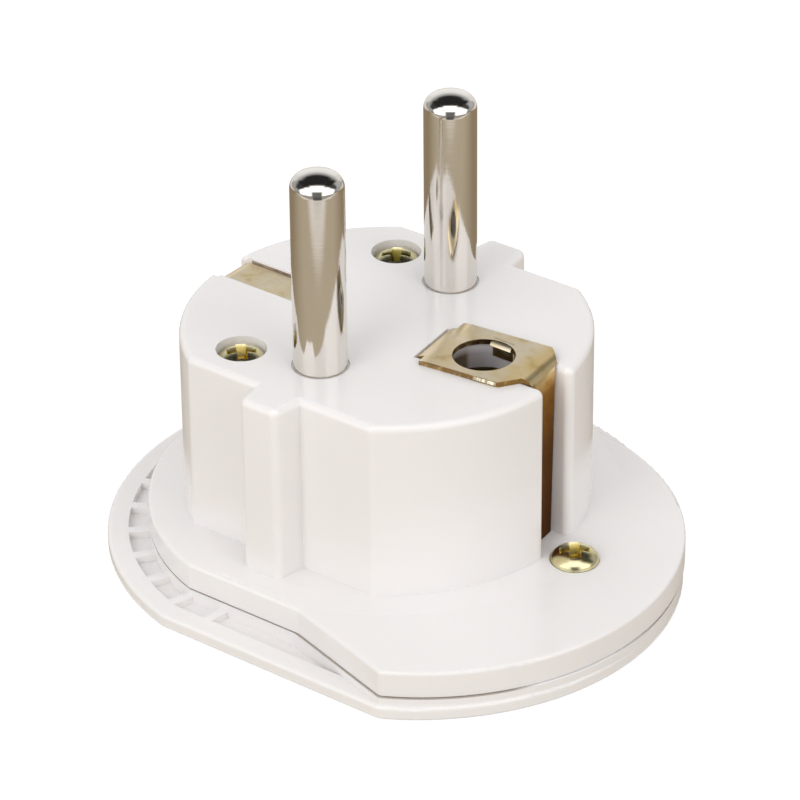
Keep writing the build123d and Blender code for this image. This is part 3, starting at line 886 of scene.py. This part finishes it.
EAR_LEVELS = {
    "seat": EAR_HEAD_LOW, "low": EAR_HEAD_LOW, "top": EAR_HEAD_TOP, "under": EAR_SINK,
}
CASE_LEVELS = {
    "seat": CASE_SEAT, "low": CASE_SEAT + CASE_RIM, "top": CASE_HEAD_TOP, "under": 0,
}
# each screw's cross_shade is the shade painted into its cross, darkest on the right case screw
SCREWS = {
    "ear_screw": {**EAR_LEVELS, "turn": -50, "cross_shade": (0.86, 0.76, 0.42)},
    "left_case_screw": {**CASE_LEVELS, "turn": -46, "cross_shade": (0.78, 0.66, 0.36)},
    "right_case_screw": {**CASE_LEVELS, "turn": -57, "cross_shade": (0.34, 0.31, 0.12)},
}
for name, screw in SCREWS.items():
    low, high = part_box(name)
    middle = (low + high) / 2
    radius = (high.x - low.x) / 2
    outline = dome_outline(radius, screw["low"], screw["top"])
    outline[0] = (0, screw["top"])
    outline += [
        (radius, screw["seat"]),
        (SHANK_R, screw["seat"] - screw["under"]),
        (SHANK_R, low.z + SHANK_POINT),
        (SHANK_R - SHANK_POINT, low.z),
        (0, low.z),
    ]
    shape = spun(outline)
    press_cross(shape, screw["low"] + DOME_MARGIN, screw["top"], math.radians(screw["turn"]))
    bmesh.ops.translate(shape, verts=shape.verts, vec=(middle.x, middle.y, 0))
    shade = shade_in_cross(middle, radius, screw["low"], screw["top"], screw["cross_shade"])
    zinc = zinc_finish(name + "_zinc", shade)
    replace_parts(add_piece("pressed_" + name, shape, zinc), name)

# %% [markdown]
# The plate of the front clip is punched. The punch leaves a short tongue at the edge of the
# hole that is rolled down and springs against an earth pin. A bent strip of faces would do,
# but a vertex spun into an arc, drawn out sideways and thickened is even and quick to change.

# %% Rolled tongue in the hole
PLATE_TOP = 0.0223
TONGUE_W = 0.0022
TONGUE_T = 0.0002
TONGUE_BEND = 0.0008
TONGUE_ARC = math.radians(68)
TONGUE_START = 0.0031
TONGUE_PROUD = 0.00002
TONGUE_STEPS = 10

shape = bmesh.new()
start = shape.verts.new((TONGUE_START, -TONGUE_W / 2, PLATE_TOP + TONGUE_PROUD))
bmesh.ops.spin(
    shape, geom=[start], cent=(TONGUE_START, 0, PLATE_TOP + TONGUE_PROUD - TONGUE_BEND),
    axis=(0, -1, 0), angle=TONGUE_ARC, steps=TONGUE_STEPS,
)
wide = bmesh.ops.extrude_edge_only(shape, edges=shape.edges[:])["geom"]
far_side = [v for v in wide if isinstance(v, bmesh.types.BMVert)]
bmesh.ops.translate(shape, verts=far_side, vec=(0, TONGUE_W, 0))
bmesh.ops.recalc_face_normals(shape, faces=shape.faces)
bmesh.ops.solidify(shape, geom=shape.faces[:], thickness=TONGUE_T)
bmesh.ops.recalc_face_normals(shape, faces=shape.faces)
bmesh.ops.translate(shape, verts=shape.verts, vec=EARTH_HOLE)
add_piece("rolled_tongue", shape, spring_brass)

# %% [markdown]
# The same punch leaves a thin ragged burr on one cut edge of the plate, which catches the
# light. An even bead would look like a seam. So this one is a row of three-sided sections
# whose outer corners are pushed out by noise, and its ends are closed.

# %% Burr on the cut edge
BURR_FROM = Vector((-0.00388, -0.0120, 0))
BURR_TO = Vector((-0.00388, -0.0143, 0))
BURR_STEPS = 22
BURR_LOW = 0.02184
BURR_HIGH = 0.02226
BURR_OUT = 0.00022
BURR_LEAST = 0.4
BURR_LEVEL, BURR_SWAY = 0.2, 0.5
BURR_PACE, BURR_ROW = 0.8, 2.5
CLIP_TURN = math.radians(6.5)
CLIP_PIVOT = Vector((0, -0.011, 0))

shape = bmesh.new()
rows = []
for i in range(BURR_STEPS + 1):
    place = BURR_FROM.lerp(BURR_TO, i / BURR_STEPS)
    rough = 0.5 + 0.5 * noise.noise(Vector((BURR_PACE * i, BURR_ROW, 0)))
    level = BURR_LOW + (BURR_HIGH - BURR_LOW) * (BURR_LEVEL + BURR_SWAY * rough)
    corners = [(0, BURR_HIGH), (-BURR_OUT * (BURR_LEAST + rough), level), (0, BURR_LOW)]
    rows.append([shape.verts.new(place + Vector((out, 0, z))) for out, z in corners])
for row, following in zip(rows, rows[1:]):
    for k in range(3):
        m = (k + 1) % 3
        shape.faces.new((row[k], row[m], following[m], following[k]))
shape.faces.new(rows[0])
shape.faces.new(rows[-1])
bmesh.ops.recalc_face_normals(shape, faces=shape.faces)
askew = Matrix.Rotation(CLIP_TURN, 3, "Z")
bmesh.ops.rotate(shape, cent=CLIP_PIVOT, matrix=askew, verts=shape.verts)
add_piece("cut_burr", shape, spring_brass)

# %% [markdown]
# The finished model should keep the size of the solid model. It could be measured by eye in the
# viewport. Here the size of the finished model is printed after each run, so that it can be
# compared with the solid model.

# %% Size of the finished model
low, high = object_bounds()
print("visual size in mm:", [round(1000 * s, 1) for s in high - low])
